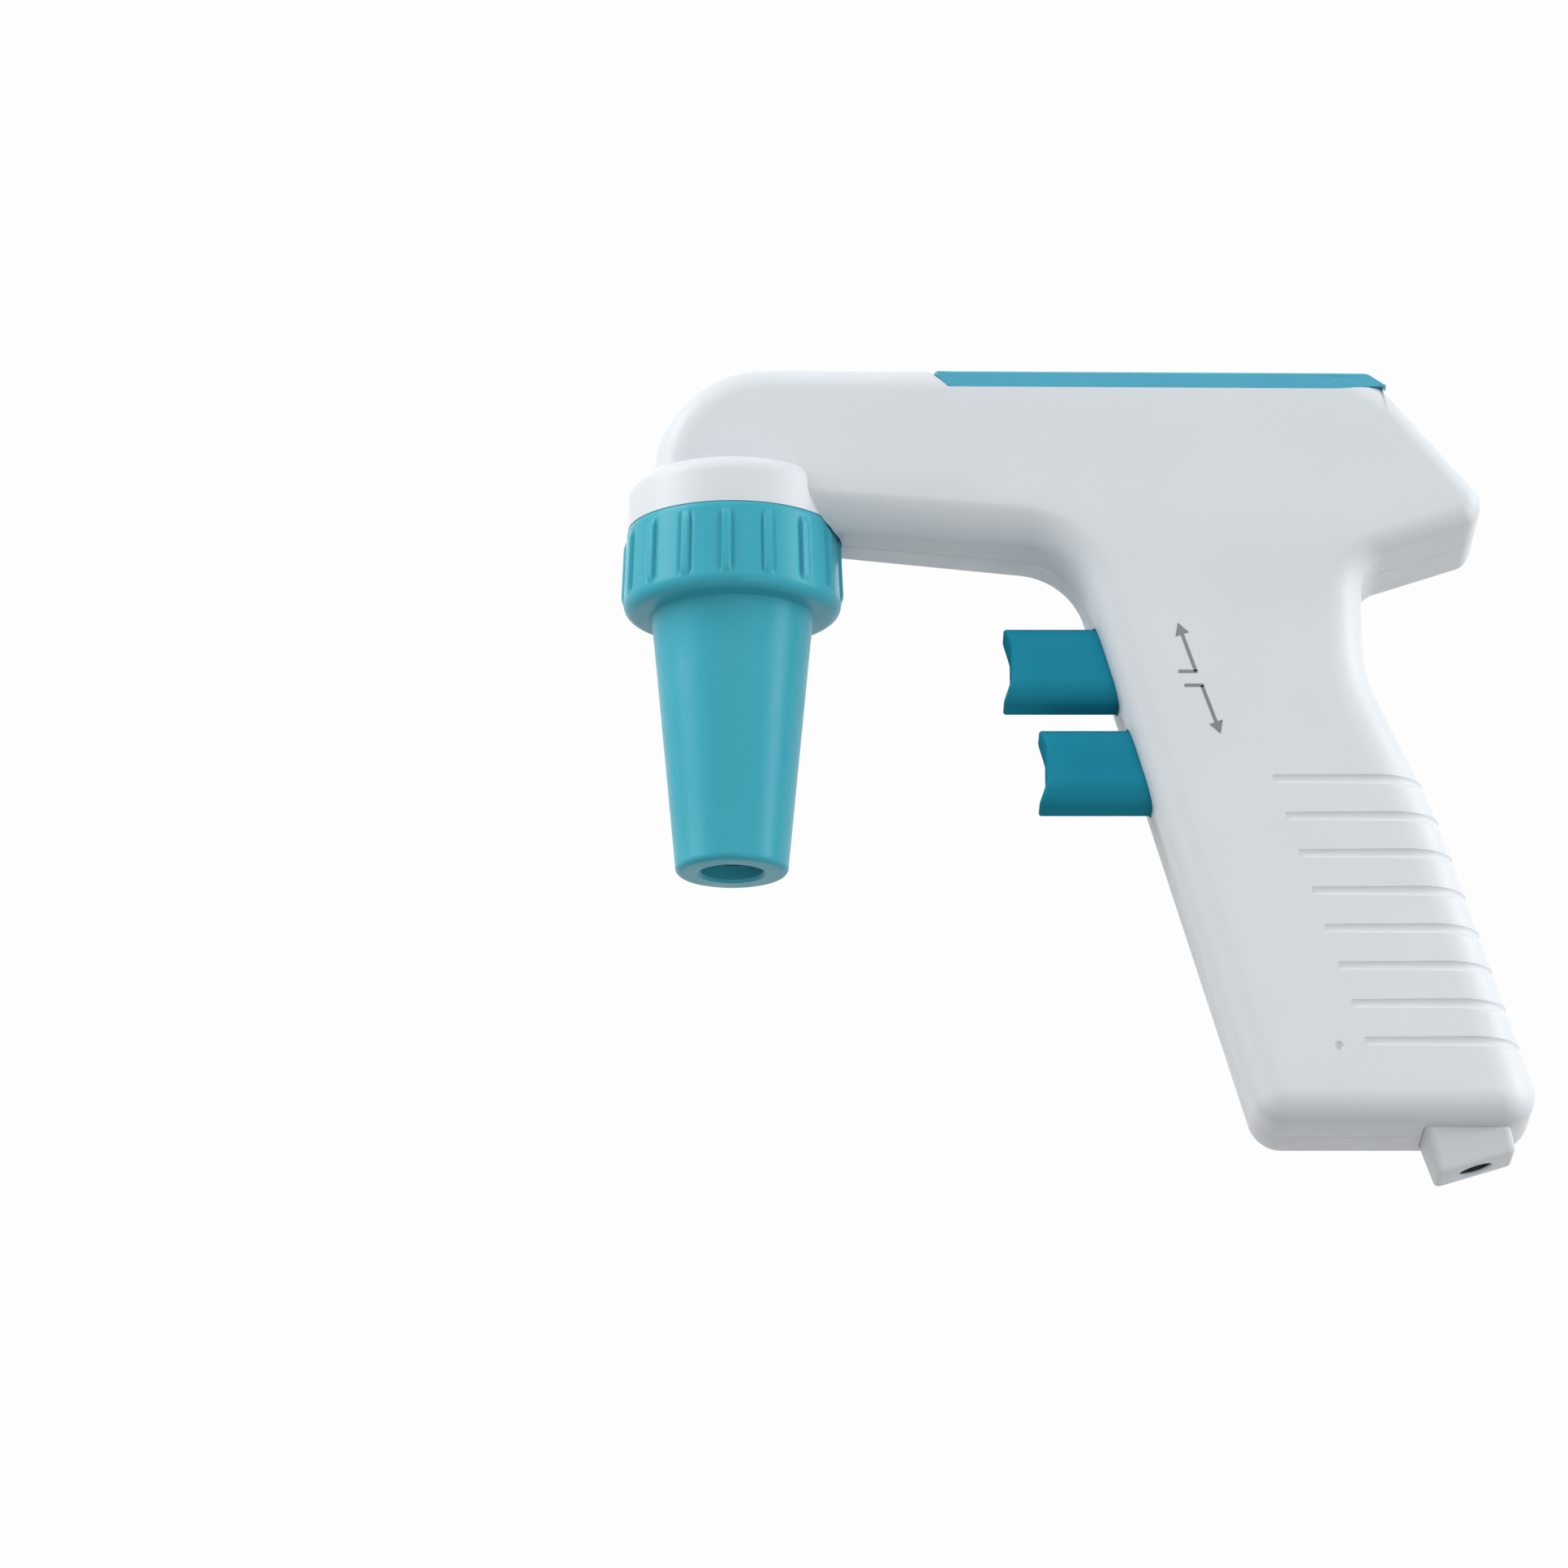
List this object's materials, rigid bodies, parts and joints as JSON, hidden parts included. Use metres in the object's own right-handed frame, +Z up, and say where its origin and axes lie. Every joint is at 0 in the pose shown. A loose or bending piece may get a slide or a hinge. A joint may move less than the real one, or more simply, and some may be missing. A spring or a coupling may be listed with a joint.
{
  "type": "pipette controller",
  "caption": "Cordless pistol-grip pipette controller with a screw-on ribbed nosepiece, sprung aspirate and dispense triggers, speed rocker, small display and charging port.",
  "frame": {"origin": "centre of the bounding box; the plane where the two shells meet is Y = 0", "axes": "+X from the nose to the rear, +Y to the user's right, +Z up along the nosepiece's axis away from its mouth"},
  "size_m": [0.156, 0.0388, 0.1434],
  "materials": {
    "casing_white": "fine satin moulded",
    "teal_plastic": "semi-gloss moulded",
    "dark_teal": "semi-gloss moulded",
    "cover_blue": "semi-gloss moulded",
    "silicone": "translucent silicone",
    "seal_rubber": "nitrile",
    "black_gloss": "gloss",
    "clear_window": "polished clear",
    "lcd_olive": "reflective liquid crystal panel",
    "board_green": "solder mask",
    "inner_black": "moulded",
    "valve_acetal": "moulded acetal",
    "filter_white": "moulded",
    "hose": "silicone hose",
    "steel": "bright",
    "nickel": "nickel plated",
    "cell_wrap": "shrink wrap"
  },
  "bodies": {
    "casing": {"left_shell": "casing_white", "right_shell": "casing_white", "charge_port": "casing_white", "top_cover": "cover_blue", "spigot_seal": "seal_rubber", "display_bezel": "black_gloss", "display_lens": "clear_window", "lcd_panel": "lcd_olive", "display_board": "board_green", "main_board": "board_green", "nose_spigot": "inner_black", "pump_head": "inner_black", "battery_holder": "inner_black", "charge_jack": "inner_black", "rocker_switch_minus": "inner_black", "rocker_switch_plus": "inner_black", "valve_block": "valve_acetal", "nose_tube": "hose", "suction_tube": "hose", "pressure_tube": "hose", "casing_screw_1": "steel", "casing_screw_2": "steel", "casing_screw_3": "steel", "casing_screw_4": "steel", "casing_screw_5": "steel", "upper_trigger_spring": "steel", "lower_trigger_spring": "steel", "pump_motor": "steel", "battery_contact_bottom": "nickel", "battery_contact_top": "nickel", "battery_cell_front": "cell_wrap", "battery_cell_rear": "cell_wrap"},
    "upper_trigger": {"upper_trigger": "dark_teal", "upper_valve_stem": "nickel"},
    "lower_trigger": {"lower_trigger": "dark_teal", "lower_valve_stem": "nickel"},
    "speed_rocker": {"speed_rocker": "teal_plastic"},
    "pipette_seat": {"pipette_holder": "silicone", "filter": "filter_white"},
    "nosepiece": {"nosepiece": "teal_plastic"},
    "pump_crank": {"pump_crank": "steel"}
  },
  "joints": [
    {"name": "upper_trigger_press", "type": "slide", "parent": "casing", "child": "upper_trigger", "axis": [1, 0, 0], "range_m": [0, 0.005], "stiffness_N_per_m": 400, "springref_m": -0.002, "deforming": ["upper_trigger_spring"]},
    {"name": "lower_trigger_press", "type": "slide", "parent": "casing", "child": "lower_trigger", "axis": [1, 0, 0], "range_m": [0, 0.005], "stiffness_N_per_m": 400, "springref_m": -0.002, "deforming": ["lower_trigger_spring"]},
    {"name": "speed_rocker_tilt", "type": "hinge", "parent": "casing", "child": "speed_rocker", "pos_m": [0.0641, 0, 0.04868], "axis": [0.6428, 0, -0.766], "range_deg": [-3, 3], "stiffness_Nm_per_rad": 0.27},
    {"name": "nosepiece_run", "type": "slide", "parent": "casing", "child": "pipette_seat", "axis": [0, 0, -1], "range_m": [0, 0.006]},
    {"name": "nosepiece_turn", "type": "hinge", "parent": "pipette_seat", "child": "nosepiece", "pos_m": [-0.05859, 0, -0.01725], "axis": [0, 0, -1], "range_deg": [0, 720]},
    {"name": "pump_crank_spin", "type": "hinge", "parent": "casing", "child": "pump_crank", "pos_m": [-0.01309, 0, 0.05408], "axis": [1, 0, 0], "continuous": true}
  ],
  "couplings": [
    {"joint": "nosepiece_run", "follows": "nosepiece_turn", "m_per_rad": 0.00047746}
  ]
}
